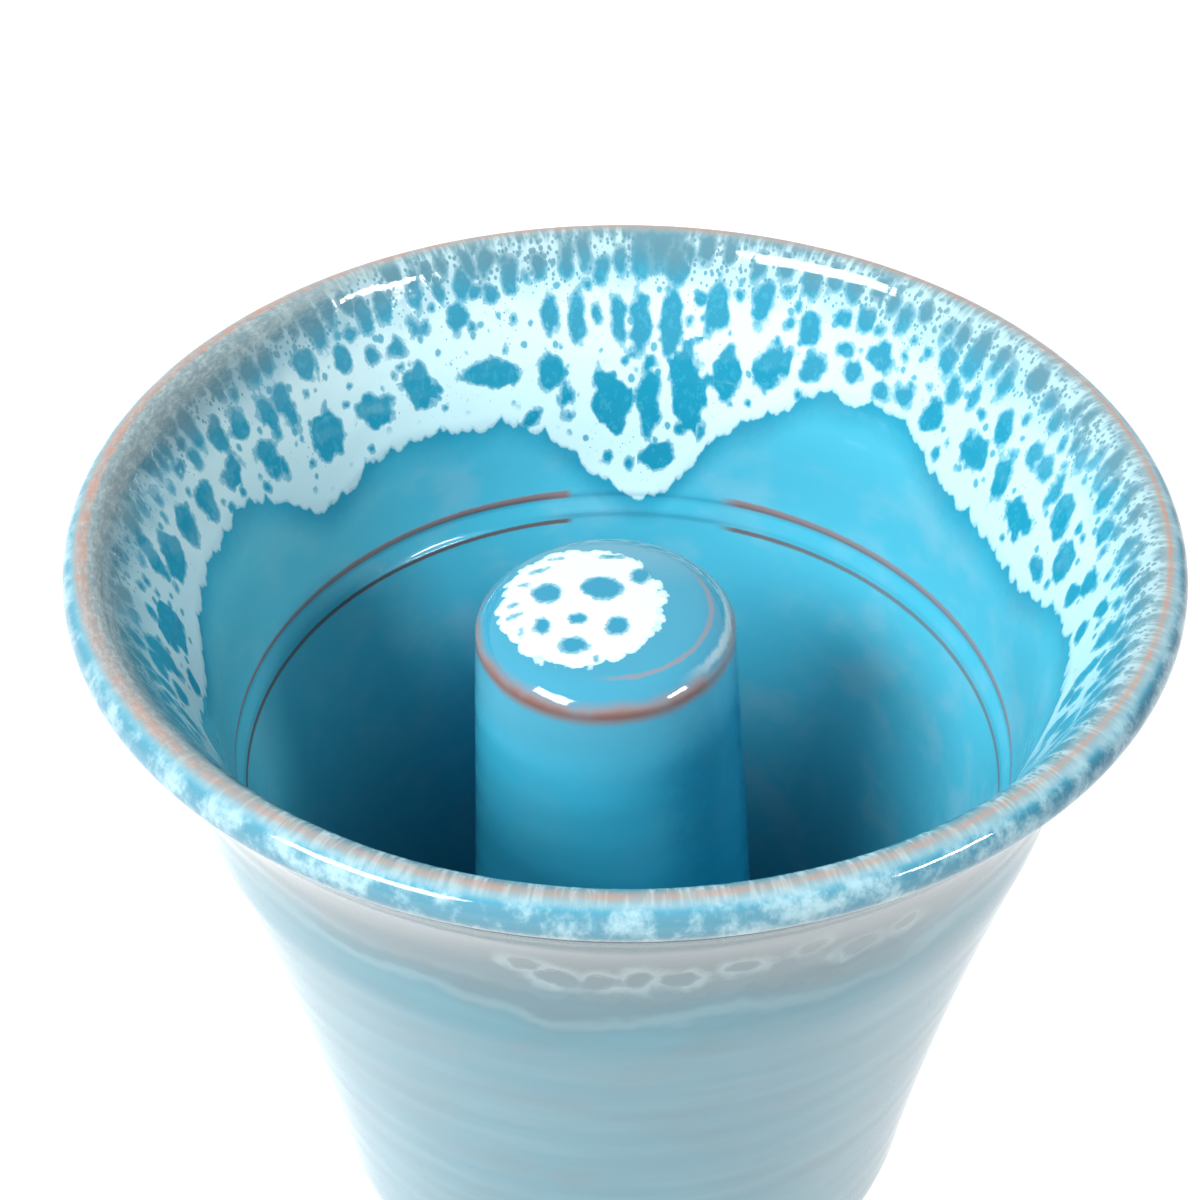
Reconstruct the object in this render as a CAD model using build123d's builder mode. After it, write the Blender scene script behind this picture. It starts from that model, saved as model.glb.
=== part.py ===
"""A pythagorean cup in thrown and glazed earthenware.

The cup is a flared bowl on a turned foot, with a hollow column standing on its floor.
Inside the column a riser tube comes up through the floor and ends level with the line
on the wall. Liquid enters the column by a hole near the floor and stands as high in it
as in the bowl. Filled past the line, it spills over the riser and siphons away through
the foot until the bowl is empty.

Millimetres and degrees. The foot stands on the XY plane, and Z is the axis of the bowl.
"""

import os

from build123d import *

os.makedirs("parts", exist_ok=True)

# Bowl: heights are from the table, and radii are to the outside of the wall
cup_height = 90.0
rim_radius = 45.0
lip_thickness = 3.5
lip_flare = 42.0
wall_thickness = 3.2
neck_radius = 38.6
neck_above_level = 9.0
level_height = 65.2
level_radius = 37.1
wall_hollow = 0.65
heel_radius = 28.9
heel_height = 20.3
heel_bend_radius = 26.9
heel_bend_height = 13.2
foot_radius = 23.0
foot_height = 4.2
foot_ring_width = 4.2
foot_edge = 0.6
foot_recess = 5.5
recess_corner = 1.2
floor_thickness = 5.0
floor_corner = 5.5

# Level line: a shallow groove in the wall, with an edge above it and an edge below it
level_band = 2.7
groove_depth = 0.45
groove_bevel = 0.6

# Column: the hollow cover of the siphon, a little to one side as the potter set it
column_offset = -1.2
column_foot_radius = 15.0
column_top_radius = 11.05
column_wall = 3.0
column_shoulder = 3.0
column_vault = 2.5
crown_thickness = 3.6
crown_rise = 1.4
inlet_radius = 3.2
inlet_above_coil = 0.5

# Riser: the drain's standpipe, an even tube with a bevelled lip
drain_radius = 2.75
riser_wall = 1.9
riser_bevel = 0.6
riser_outlet = 1.5
siphon_headroom = 9.9

# Coils of soft clay that were smoothed into the joints
column_coil_width = 2.6
column_coil_height = 2.8
riser_coil_width = 2.6
riser_coil_height = 3.0
drain_coil_width = 2.4
drain_coil_height = 1.2
coil_edge = 0.4

# Room left between fired pieces
seat_clearance = 0.1
luting_clearance = 0.05

# Places that follow from the sizes
floor_height = foot_recess + floor_thickness
neck_height = level_height + neck_above_level
riser_radius = drain_radius + riser_wall
column_axis = Axis((column_offset, 0, 0), (0, 0, 1))
floor_centre = Plane((column_offset, 0, floor_height), x_dir=(1, 0, 0), z_dir=(0, -1, 0))
recess_ceiling = Plane((column_offset, 0, foot_recess), x_dir=(1, 0, 0), z_dir=(0, 1, 0))


# Cup body: thrown in one piece, with the foot turned once the clay was leather hard
wall_foot = Vector(heel_radius, heel_height)
wall_head = Vector(level_radius, level_height)
wall_middle = (wall_foot + wall_head) / 2 - Vector(wall_hollow, 0)
neck = Vector(neck_radius, neck_height)
inward = Vector(-wall_thickness, 0)

flare_way = Vector(0, 1).rotate(Axis.Z, -lip_flare)
lip_half = lip_thickness / 2
lip_centre = Vector(rim_radius - lip_half, cup_height - lip_half)
lip_side = flare_way.rotate(Axis.Z, -90) * lip_half

with BuildPart() as cup_body:
    with BuildSketch(Plane.XZ) as bowl_section:
        with BuildLine():
            foot_side = Line((foot_radius, 0), (foot_radius, foot_height))
            heel = Line(foot_side @ 1, (heel_bend_radius, heel_bend_height))
            wall_outside = ThreePointArc(wall_foot, wall_middle, wall_head)
            TangentArc(wall_foot, heel @ 1, tangent=-(wall_outside % 0))
            wall_way = wall_outside % 1
            Spline(wall_head, neck, lip_centre + lip_side, tangents=[wall_way, flare_way])
            ThreePointArc(
                lip_centre + lip_side, lip_centre + flare_way * lip_half, lip_centre - lip_side
            )
            upper_edge = wall_head + inward
            lower_edge = upper_edge - wall_way * level_band
            Spline(
                upper_edge, neck + inward, lip_centre - lip_side, tangents=[wall_way, flare_way]
            )
            Polyline(
                upper_edge,
                upper_edge + Vector(groove_depth, -groove_bevel),
                lower_edge + Vector(groove_depth, groove_bevel),
                lower_edge,
            )
            wall_inside = ThreePointArc(lower_edge, wall_middle + inward, wall_foot + inward)
            down = wall_inside % 1
            wall_end = wall_inside @ 1 - down * ((heel_height - floor_height) / down.Y)
            Polyline(wall_inside @ 1, wall_end, (0, floor_height), (0, 0), foot_side @ 0)
        make_face()
        fillet(bowl_section.vertices().sort_by_distance(wall_end)[0], radius=floor_corner)
    revolve(axis=Axis.Z)
    with BuildSketch():
        Circle(foot_radius - foot_ring_width)
    extrude(amount=foot_recess, mode=Mode.SUBTRACT)
    recess_rim = cup_body.edges().filter_by(GeomType.CIRCLE).filter_by_position(
        Axis.Z, foot_recess, foot_recess
    )
    chamfer(recess_rim, length=recess_corner)
    foot_edges = cup_body.edges().filter_by(GeomType.CIRCLE).filter_by_position(Axis.Z, 0, 0)
    chamfer(foot_edges, length=foot_edge)
    with Locations((column_offset, 0, floor_height)):
        Hole(radius=riser_radius + seat_clearance, depth=floor_thickness)
cup_body.part.label = "cup_body"
export_step(cup_body.part, "parts/cup_body.step")


# Siphon column: a tapered tube thrown closed at the top and set over the drain
ceiling = level_height + siphon_headroom - floor_height
crown_edge = ceiling + crown_thickness - crown_rise
column_taper = (column_foot_radius - column_top_radius) / crown_edge
hollow_foot_radius = column_foot_radius - column_wall
inlet_height = column_coil_height + inlet_above_coil + inlet_radius

with BuildPart() as siphon_column:
    with BuildSketch(floor_centre) as column_section:
        with BuildLine():
            side = Line((column_foot_radius, 0), (column_top_radius, crown_edge))
            crown = TangentArc((0, ceiling + crown_thickness), side @ 1, tangent=(1, 0))
            Polyline(crown @ 0, (0, 0), side @ 0)
        make_face()
        fillet(column_section.vertices().sort_by(Axis.X)[-2], radius=column_shoulder)
    revolve(axis=column_axis)
    with BuildSketch(floor_centre) as column_hollow:
        Polygon(
            (0, 0),
            (hollow_foot_radius, 0),
            (hollow_foot_radius - column_taper * ceiling, ceiling),
            (0, ceiling),
            align=None,
        )
        chamfer(column_hollow.vertices().sort_by(Axis.X)[-2], length=column_vault)
    revolve(axis=column_axis, mode=Mode.SUBTRACT)
    with BuildSketch(Plane((column_offset, 0, floor_height + inlet_height), z_dir=(1, 0, 0))):
        Circle(inlet_radius)
    extrude(amount=column_foot_radius, mode=Mode.SUBTRACT)
siphon_column.part.label = "siphon_column"
export_step(siphon_column.part, "parts/siphon_column.step")


# Riser tube: passed up through the floor, so its lip stands level with the line
riser_foot = foot_recess - riser_outlet
with BuildPart() as riser_tube:
    with BuildSketch(Plane((column_offset, 0, riser_foot))):
        Circle(riser_radius)
        Circle(drain_radius, mode=Mode.SUBTRACT)
    extrude(amount=level_height - riser_foot)
    spill_edges = riser_tube.edges().group_by(Axis.Z)[-1]
    chamfer(spill_edges, length=riser_bevel)
riser_tube.part.label = "riser_tube"
export_step(riser_tube.part, "parts/riser_tube.step")


def luting_ring(corner, root, lean, width, height):
    """Return a bevelled ring of clay, standing on a plane and leaning with what it seals."""
    root = root + luting_clearance
    with BuildPart() as ring:
        with BuildSketch(corner):
            Polygon(
                (root, 0),
                (root + width, 0),
                (root + width, coil_edge),
                (root - lean * height + coil_edge, height),
                (root - lean * height, height),
                align=None,
            )
        revolve(axis=column_axis)
    return ring


# Luting coils: rings of clay pressed into the corners where the tubes meet the floor
column_luting_coil = luting_ring(
    floor_centre, column_foot_radius, column_taper, column_coil_width, column_coil_height
)
column_luting_coil.part.label = "column_luting_coil"
export_step(column_luting_coil.part, "parts/column_luting_coil.step")

riser_luting_coil = luting_ring(
    floor_centre, riser_radius, 0, riser_coil_width, riser_coil_height
)
riser_luting_coil.part.label = "riser_luting_coil"
export_step(riser_luting_coil.part, "parts/riser_luting_coil.step")

drain_luting_coil = luting_ring(
    recess_ceiling, riser_radius, 0, drain_coil_width, drain_coil_height
)
drain_luting_coil.part.label = "drain_luting_coil"
export_step(drain_luting_coil.part, "parts/drain_luting_coil.step")
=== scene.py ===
"""A self-emptying cup: a thrown bowl with a hollow siphon column standing on its floor."""
import math

import bmesh
import bpy
import numpy as np
from mathutils import Matrix, Vector


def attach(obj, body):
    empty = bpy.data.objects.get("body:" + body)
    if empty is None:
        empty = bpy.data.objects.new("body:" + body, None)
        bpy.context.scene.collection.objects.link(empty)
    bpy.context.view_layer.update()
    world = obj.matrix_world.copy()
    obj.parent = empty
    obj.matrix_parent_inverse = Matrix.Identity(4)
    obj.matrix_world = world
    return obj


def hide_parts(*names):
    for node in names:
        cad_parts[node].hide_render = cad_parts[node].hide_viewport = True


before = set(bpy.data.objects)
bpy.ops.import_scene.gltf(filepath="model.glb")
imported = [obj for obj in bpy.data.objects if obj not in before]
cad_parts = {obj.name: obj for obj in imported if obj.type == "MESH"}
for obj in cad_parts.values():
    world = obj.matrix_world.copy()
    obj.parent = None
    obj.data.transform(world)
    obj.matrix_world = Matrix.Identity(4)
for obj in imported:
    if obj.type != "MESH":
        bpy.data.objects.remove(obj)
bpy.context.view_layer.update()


# The cup: a bowl thrown in red clay, with a foot ring turned on its underside and a flared lip.
# Turquoise glaze covers it down to the foot. White glaze poured over the lip has run down
# inside and outside and opened into a web as it melted.
MM = 0.001


def arc_through(first, middle, last, count):
    """Points from first to last on the circle through three points of the section.

    The centre lies where the upright bisectors of the two chords meet, and the points are
    spread evenly over the angle that first and last make there.
    """
    first, middle, last = (np.array(point, float) for point in (first, middle, last))
    chords = np.array([middle - first, last - middle])
    halves = np.array([(middle + first) / 2, (last + middle) / 2])
    centre = np.linalg.solve(chords, (chords * halves).sum(1))
    spokes = [point - centre for point in (first, middle, last)]
    angles = np.unwrap([math.atan2(spoke[1], spoke[0]) for spoke in spokes])
    turn = np.linspace(angles[0], angles[2], count)
    return centre + math.hypot(*spokes[0]) * np.stack([np.cos(turn), np.sin(turn)], 1)


def swept_line(first, middle, last, start_way, end_way, count):
    """A smooth line through three points of the section, with the directions given at its ends.

    It is two cubics. The slope they share at the middle point is the one that also gives them
    the same bend there.
    """
    first, middle, last = (np.array(point, float) for point in (first, middle, last))
    before, after = math.dist(first, middle), math.dist(middle, last)
    pull = 3 * ((middle - first) * after / before + (last - middle) * before / after)
    slope = (pull - after * np.array(start_way) - before * np.array(end_way)) / (2 * (before + after))
    way = np.linspace(0, before + after, count)[:, None]
    lower = way <= before
    length = np.where(lower, before, after)
    t = np.where(lower, way, way - before) / length
    start, end = np.where(lower, first, middle), np.where(lower, middle, last)
    leave, arrive = np.where(lower, start_way, slope), np.where(lower, slope, end_way)
    return (
        start * (2 * t**3 - 3 * t**2 + 1)
        + leave * length * (t**3 - 2 * t**2 + t)
        + end * (3 * t**2 - 2 * t**3)
        + arrive * length * (t**3 - t**2)
    )


def straight(first, last, count):
    """Evenly spaced points from first to last."""
    return np.linspace(first, last, count)


def joined(*lines):
    """One line from several that each start where the one before ends."""
    return np.concatenate([lines[0], *(line[1:] for line in lines[1:])])


def eased(value, low, high):
    """0 below low and 1 above high, with a smooth step between them."""
    share = np.clip((value - low) / (high - low), 0, 1)
    return share * share * (3 - 2 * share)


wall_thickness = 3.2
seat_radius = 4.75
column_offset = -1.2
floor_level, recess_level = 10.5, 5.5
wall_foot, wall_head, neck = (28.9, 20.3), (37.1, 65.2), (38.6, 74.2)
level_line_width, groove_depth, groove_bevel = 2.7, 0.45, 0.6
lip_centre, lip_round, lip_flare = np.array([43.25, 88.25]), 1.75, math.radians(42)

wall_chord = np.array([wall_head[0] - wall_foot[0], wall_head[1] - wall_foot[1]])
wall_lean = wall_chord / math.hypot(*wall_chord)
wall_middle = np.array(wall_foot) + wall_chord / 2 + 0.65 * np.array([-wall_lean[1], wall_lean[0]])
outer_wall = arc_through(wall_foot, wall_middle, wall_head, 46)
wall_way = outer_wall[-1] - outer_wall[-2]
wall_way /= math.hypot(*wall_way)
inward = np.array([-wall_thickness, 0])
line_top = np.array(wall_head) + inward
line_foot = line_top - wall_way * level_line_width
groove_top = line_top + (groove_depth, -groove_bevel)
groove_foot = line_foot + (groove_depth, groove_bevel)
flare_way = np.array([math.sin(lip_flare), math.cos(lip_flare)])
lip_inner = lip_centre + lip_round * np.array([-flare_way[1], flare_way[0]])
lip_outer = 2 * lip_centre - lip_inner
throat_round, throat_lean = 6.0, math.radians(28)
throat_way = np.array([math.sin(throat_lean), math.cos(throat_lean)])
throat_chord = throat_way + flare_way
throat_chord /= math.hypot(*throat_chord)
throat = lip_inner - throat_chord * 2 * throat_round * math.sin((lip_flare - throat_lean) / 2)
throat_side = np.array([-throat_chord[1], throat_chord[0]])
throat_middle = (throat + lip_inner) / 2 + throat_side * throat_round * (
    1 - math.cos((lip_flare - throat_lean) / 2)
)
inner_wall = arc_through(np.array(wall_foot) + inward, wall_middle + inward, line_foot, 30)
corner_round = 5.5
wall_start = np.array(wall_foot) + inward
toe_way = inner_wall[0] - inner_wall[1]
toe_way /= math.hypot(*toe_way)
toe = wall_start + toe_way * ((wall_start[1] - floor_level) / -toe_way[1])
corner_reach = corner_round * math.tan((math.pi / 2 + math.asin(toe_way[0])) / 2)
corner_high = toe - toe_way * corner_reach
corner_low = toe - (corner_reach, 0)
corner_middle = toe + (corner_high + corner_low - 2 * toe) * 0.205
bead_turn = np.linspace(0, math.pi, 25)
bead_side = (lip_inner - lip_centre) / lip_round
bead = lip_centre + lip_round * (
    np.cos(bead_turn)[:, None] * bead_side + np.sin(bead_turn)[:, None] * flare_way
)
section = joined(
    straight((seat_radius, recess_level), (seat_radius, floor_level - 0.3), 3),
    straight((seat_radius, floor_level - 0.3), (seat_radius + 0.3, floor_level), 2),
    straight((seat_radius + 0.3, floor_level), corner_low, 10),
    arc_through(corner_low, corner_middle, corner_high, 9),
    straight(corner_high, inner_wall[0], 3),
    inner_wall[:-1],
    straight(inner_wall[-2], line_foot, 7),
    straight(line_foot, groove_foot, 6),
    straight(groove_foot, groove_top, 5),
    straight(groove_top, line_top, 4),
    swept_line(line_top, np.array(neck) + inward, throat, wall_way, throat_way, 60),
    arc_through(throat, throat_middle, lip_inner, 8),
    bead,
    swept_line(lip_outer, neck, wall_head, -flare_way, -wall_way, 44),
    outer_wall[::-1],
    arc_through(wall_foot, (28.28, 16.65), (26.9, 13.2), 6),
    straight((26.9, 13.2), (23.1, 4.5), 8),
    straight((23.1, 4.5), (23, 4.1), 3),
    straight((23, 4.1), (23, 0.6), 4),
    straight((23, 0.6), (22.4, 0), 3),
    straight((22.4, 0), (19.4, 0), 5),
    straight((19.4, 0), (18.8, 0.6), 3),
    straight((18.8, 0.6), (18.8, 4.3), 5),
    straight((18.8, 4.3), (17.6, 5.5), 3),
    straight((17.6, 5.5), (seat_radius, recess_level), 9),
)[:-1]

# Distances along the section are counted from the crest of the lip: minus inside, plus outside.
crest = lip_centre + lip_round * np.array([math.sin(math.radians(10)), math.cos(math.radians(10))])
run = np.concatenate([[0], np.cumsum(np.hypot(*np.diff(section, axis=0).T))])


def run_at(point):
    """The distance along the section of the row nearest to a point."""
    return run[np.hypot(*(section - point).T).argmin()]


line_runs = [run_at(point) - run_at(crest) for point in (line_top, groove_top, groove_foot, line_foot)]
foot_run = run_at((23, 4.1)) - run_at(crest)
run -= run_at(crest)
columns = 344
turn = np.linspace(-math.pi, math.pi, columns, endpoint=False)
degrees = np.degrees(turn)

# How far the white glaze ran, read round the cup as (degrees from the back, mm below the crest).
inner_reach = [
    (-178, 15), (-165, 18.5), (-152, 13.5), (-139, 16), (-127, 20), (-114, 14), (-105, 17.5), (-98, 18.7),
    (-90, 15.7), (-83, 14.6), (-76, 14.2), (-69, 13.8), (-64, 14.8), (-59, 17.6), (-55, 20), (-51, 21),
    (-46.5, 19.6), (-41, 18.1), (-34, 18), (-27, 18.8), (-19, 18.9), (-14, 20.1), (-10, 22.2), (-6.5, 25.2),
    (-2, 27.2), (2.5, 29.2), (6, 28), (9.5, 25.8), (12.8, 22.4), (16.5, 19.6), (20, 18.8), (24, 17),
    (28, 15), (31, 13.4), (36, 13.9), (39.5, 13.1), (45, 13.1), (48.5, 14.5), (53, 16.1), (59, 17.5),
    (65, 17.4), (71, 17.9), (76, 18.3), (82, 16.9), (88, 14.8), (95, 13.4), (104, 12.8), (112, 14.5),
    (121, 19), (129, 17), (138, 13.2), (149, 17.2), (159, 20.5), (170, 16),
]
outer_reach = [
    (-172, 18.5), (-162, 17), (-150, 18), (-136, 16), (-120, 18.5), (-104, 15.5), (-88, 17), (-70, 19.5),
    (-55, 16), (-38, 18), (-20, 15), (-4, 17), (12, 19.5), (30, 16), (48, 17), (66, 15), (84, 18.5),
    (102, 16.5), (120, 17), (136, 17.5), (146, 19), (156, 19.6), (166, 18), (175, 18.6),
]


def reach(points, angle):
    """How far the white glaze runs at an angle: straight lines between the points, evened out."""
    at, depth = zip(*points)
    lags = (-2.4, -1.2, 0, 1.2, 2.4)
    return sum(np.interp(angle + lag, at, depth, period=360) for lag in lags) / len(lags)


# The windows of the web, where the white glaze drew apart: (degrees, mm from the crest,
# half width, half height, lean in degrees).
seen_windows = [
    (-98.7, 11.7, 2.3, 2.3, 0), (-90.7, 7.8, 0.9, 1.9, -8), (-87, 10.2, 1.7, 2.3, 8),
    (-80.3, 10, 1.3, 1.7, 0), (-74.3, 10.4, 1.2, 1.8, 0), (-75.5, 6.6, 0.8, 0.9, 0),
    (-72, 7.3, 0.7, 1.0, 0), (-67, 10.7, 1.5, 1.15, 15), (-66.5, 7.3, 0.9, 1.5, 0),
    (-62.3, 7.9, 1.2, 1.35, 15), (-57, 8.7, 0.75, 2.1, 8), (-53.5, 9.2, 1.0, 2.1, 0),
    (-59.7, 12.2, 1.1, 2.2, 20), (-48.3, 6.8, 1.0, 1.5, 10), (-49, 13.7, 1.8, 2.3, 0),
    (-42.3, 7.9, 0.95, 1.2, 0), (-40.3, 13.5, 2.1, 1.75, 0), (-40, 5.8, 0.6, 1.0, 0),
    (-38, 8.4, 0.65, 0.7, 0), (-37.3, 5, 0.65, 1.3, 0), (-34.1, 8.6, 0.85, 1.1, 0),
    (-32, 13.3, 1.6, 2.2, 6), (-30.8, 7.3, 0.5, 1.25, 5), (-26, 4.8, 0.5, 1.2, 0),
    (-24.3, 7.5, 0.9, 1.35, -6), (-20.3, 13.5, 2.8, 1.4, -6),
    (-21, 5.7, 0.5, 0.5, 0), (-19, 6.2, 0.55, 0.8, 0), (-10.8, 8.7, 0.85, 1.8, 0),
    (-6.8, 9, 0.8, 2.4, 0), (-11.3, 14.3, 1.5, 2.0, 12), (-9.5, 16.5, 0.9, 1.6, 10),
    (-2.1, 17.7, 1.95, 3.2, 8), (3.7, 17, 1.05, 3.9, 0), (-0.9, 9.3, 0.65, 2.4, 8),
    (2, 10.3, 1.05, 2.8, 0), (6.5, 9.3, 1.05, 2.8, 0), (-8, 3.7, 0.6, 1.6, 0),
    (-11.9, 4.3, 0.5, 1.0, 0), (5.6, 23.4, 1.9, 1.3, 34),
    (-14.7, 18.7, 1.2, 0.65, 30), (-8.9, 18.8, 0.75, 0.8, 0), (-2.8, 23.8, 0.45, 0.6, 0),
    (0.6, 24.4, 0.35, 0.5, 0), (10, 16.3, 2.0, 4.0, 4), (13.3, 8, 0.95, 2.6, 0),
    (19.3, 7, 0.95, 1.9, 0), (15.7, 14, 1.4, 2.5, -4), (22.3, 12.3, 1.5, 2.4, -14),
    (26.8, 8, 1.1, 1.45, 0), (28.3, 11.3, 1.2, 1.4, -16), (32.7, 8.8, 0.85, 0.7, -20),
    (31, 6.2, 0.75, 0.9, 0), (34.3, 5.5, 0.7, 1.3, 0), (34.8, 10.7, 1.0, 1.1, 0),
    (38.3, 8.3, 1.4, 1.35, 0), (44, 10.8, 1.05, 1.2, 0), (39.7, 11.6, 0.9, 0.75, 0),
    (44.7, 6.2, 0.55, 0.55, 0), (47.7, 6, 0.75, 1.4, 14), (49, 11.3, 1.1, 1.45, 10),
    (51, 8.2, 0.8, 1.2, 10), (54, 7.7, 0.5, 1.0, 0), (58.1, 11.8, 1.75, 1.75, 0),
    (57.5, 5.2, 0.65, 1.4, 0), (60.7, 8.2, 0.9, 1.5, 16), (64.3, 11.8, 0.95, 2.4, 4),
    (67.7, 7.8, 0.75, 1.2, 0), (71, 8, 0.85, 1.1, 0), (71, 13.6, 2.1, 1.6, 14),
    (74.5, 8.7, 0.65, 1.4, 8), (78.8, 9.7, 1.3, 2.0, 0), (75.5, 5, 0.55, 1.4, 0),
    (84.3, 11.7, 1.4, 1.5, 0), (80.1, 14.7, 1.2, 0.8, 0), (87.7, 6.3, 0.85, 1.1, 0),
    (92.7, 9, 1.3, 1.3, 10), (90.7, 11.7, 1.1, 1.0, 0), (99.3, 8, 0.9, 0.9, 0),
    (99.3, 11, 1.0, 1.0, 0), (27, 14.5, 0.55, 0.6, 0), (12.3, 20.2, 0.4, 1.1, 0),
    (52, 14, 0.45, 0.6, 0), (-70.5, 13, 0.5, 0.5, 0), (-53, 15.2, 0.4, 0.45, 0),
    (154, -16, 1.5, 1.0, 0), (174, -15.4, 1.2, 0.9, 0), (178.2, -15, 0.7, 1.1, 0),
    (-178, -15.6, 1.3, 1.1, 0), (-173.5, -15.4, 1.4, 1.0, 0), (-170, -13.3, 0.9, 0.9, 0),
    (160, -13.4, 0.8, 0.7, 0), (167, -14.4, 1.0, 0.8, 0), (148, -15.6, 0.9, 0.8, 0),
]
middle_round = 38.0
chance = np.random.default_rng(11)


def spread_windows(taken, side, span, band, tries, grown, stretch):
    """Windows for the parts the picture doesn't show, thrown at random where there is room.

    Their half width is the first of grown, plus the second for each mm from the crest, and
    stretch gives how many times higher than wide they are, from the least to the most. A throw
    is kept when it clears the others and the edge of the white glaze.
    """
    kept = list(taken)
    for _ in range(tries):
        angle, depth = chance.uniform(*span), chance.uniform(*band)
        width = (grown[0] + grown[1] * depth) * chance.uniform(0.6, 1.3)
        height = width * chance.uniform(*stretch)
        limit = reach(inner_reach if side > 0 else outer_reach, angle)
        if depth + height * 1.1 + 0.8 > limit or depth - height < 0.7:
            continue
        at, deep, wide, tall, _ = (np.array(column) for column in zip(*kept))
        across = (at - angle + 180) % 360 - 180
        gap = np.hypot(np.radians(across) * middle_round / (wide + width + 0.4),
                       (deep - side * depth) / (tall + height + 0.35))
        if gap.min() > 0.97:
            kept.append((angle, side * depth, width, height, chance.uniform(-9, 9)))
    return kept


windows = spread_windows(seen_windows, 1, (103, 258), (4.5, 19), 2600, (0.42, 0.075), (0.95, 2.1))
windows = spread_windows(windows, 1, (-180, 180), (2.2, 5.0), 1500, (0.52, 0.03), (1.6, 3.0))
windows = spread_windows(windows, 1, (-104, 104), (4.5, 9), 260, (0.28, 0.02), (1.0, 1.8))
windows = spread_windows(windows, 1, (-104, 104), (9, 17), 70, (0.3, 0.0), (0.9, 1.4))
windows = spread_windows(windows, -1, (-130, 135), (8, 17), 500, (0.42, 0.06), (0.9, 1.6))
window_at, window_deep, window_wide, window_tall, window_lean = (
    np.array(column) for column in zip(*windows)
)

angle_grid, run_grid = np.meshgrid(degrees, run)
reach_grid = np.where(run_grid < 0, reach(inner_reach, angle_grid), reach(outer_reach, angle_grid))
drip = reach_grid - np.abs(run_grid)

# The wall swells a little where the white glaze lies thick, most of all along the edge of a
# run, and the outside keeps low throwing rings that climb as they go round.
glazed = eased(foot_run - run_grid, 0, 1.5) * eased(run_grid, run[0] + 8, run[0] + 12)
swell = 0.07 * eased(drip, -0.5, 1.0) + 0.05 * np.exp(-(((drip - 0.8) / 0.9) ** 2))
swell *= glazed * eased(np.abs(run_grid), 2.5, 7) * np.where(run_grid > 0, 0.35, 1.0)
height_grid = np.repeat(section[:, 1:2], columns, 1)
climb = height_grid + np.radians(angle_grid) * 4.6 / (2 * math.pi)
rings = 0.009 * np.sin(climb * 2 * math.pi / 4.6) + 0.006 * np.sin(height_grid * 1.9 + 1)
rings *= eased(run_grid, 9, 16) * eased(foot_run - run_grid, 0, 4)
rings += 0.012 * np.sin(climb * 2 * math.pi / 4.6) * eased(-run_grid, 2 - line_runs[3], 44) * glazed

# Glaze has filled the groove between the two lines: all of it behind the long central run,
# and least of it at the back left, where the lower edge stands up as a small ridge.
behind_run = eased(angle_grid, -15, -9) * eased(-angle_grid, -21, -15)
thinly = np.exp(-(((angle_grid + 34) / 13) ** 2))
pooled = 0.74 + 0.26 * behind_run - 0.5 * thinly * (1 - behind_run)
pooled *= groove_depth * np.interp(run_grid, line_runs[::-1], (0, 1, 1, 0))
pooled += 0.14 * thinly * np.exp(-(((run_grid - line_runs[3]) / 0.3) ** 2))

slope = np.gradient(section, axis=0)
slope /= np.hypot(*slope.T)[:, None]
out_round, out_up = -slope[:, 1:2], slope[:, :1]
radius_grid = section[:, :1] + out_round * (swell + rings) - pooled
level_grid = section[:, 1:2] + out_up * (swell + rings)
shift = column_offset * (1 - eased(section[:, :1], 5.2, 17))
cup_grid = np.stack(
    [radius_grid * np.sin(turn) + shift, radius_grid * np.cos(turn), level_grid], -1
) * MM


def skin(name, grid, closed_loop=True):
    """A surface over a grid of points whose rows go along the section and columns round the axis.

    Columns always close into a ring. Rows close too, or else the first and last row are poles
    or edges, and points that coincide are merged.
    """
    rows, across = grid.shape[:2]
    last = rows if closed_loop else rows - 1
    row, column = (index.ravel() for index in np.meshgrid(range(last), range(across), indexing="ij"))
    below, beside = (row + 1) % rows, (column + 1) % across
    corners = np.stack([row * across + column, row * across + beside,
                        below * across + beside, below * across + column], 1)
    mesh = bpy.data.meshes.new(name)
    mesh.vertices.add(rows * across)
    mesh.vertices.foreach_set("co", grid.astype(np.float32).ravel())
    mesh.loops.add(corners.size)
    mesh.loops.foreach_set("vertex_index", corners.astype(np.int32).ravel())
    mesh.polygons.add(len(corners))
    mesh.polygons.foreach_set("loop_start", np.arange(0, corners.size, 4, dtype=np.int32))
    mesh.update(calc_edges=True)
    if not closed_loop:
        work = bmesh.new()
        work.from_mesh(mesh)
        bmesh.ops.remove_doubles(work, verts=work.verts, dist=1e-7)
        bmesh.ops.recalc_face_normals(work, faces=work.faces)
        work.to_mesh(mesh)
        work.free()
    mesh.polygons.foreach_set("use_smooth", np.ones(len(mesh.polygons), bool))
    mesh.update()
    piece = bpy.data.objects.new(name, mesh)
    bpy.context.scene.collection.objects.link(piece)
    return piece


cup = skin("thrown_cup", cup_grid)


def mark(piece, name, kind, domain, values):
    """Stores values on a piece's points or face corners, for its glaze to read."""
    layer = piece.data.attributes.new(name, kind, domain)
    layer.data.foreach_set("value" if kind == "FLOAT" else "vector", values.astype(np.float32).ravel())


# The place on the unrolled wall, in mm: a ring of one fixed radius and the distance from the crest.
place = np.stack(
    [middle_round * np.sin(turn) + 0 * run_grid, middle_round * np.cos(turn) + 0 * run_grid, run_grid], -1
)
mark(cup, "place", "FLOAT_VECTOR", "POINT", place)
mark(cup, "drip", "FLOAT", "POINT", drip)

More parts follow.
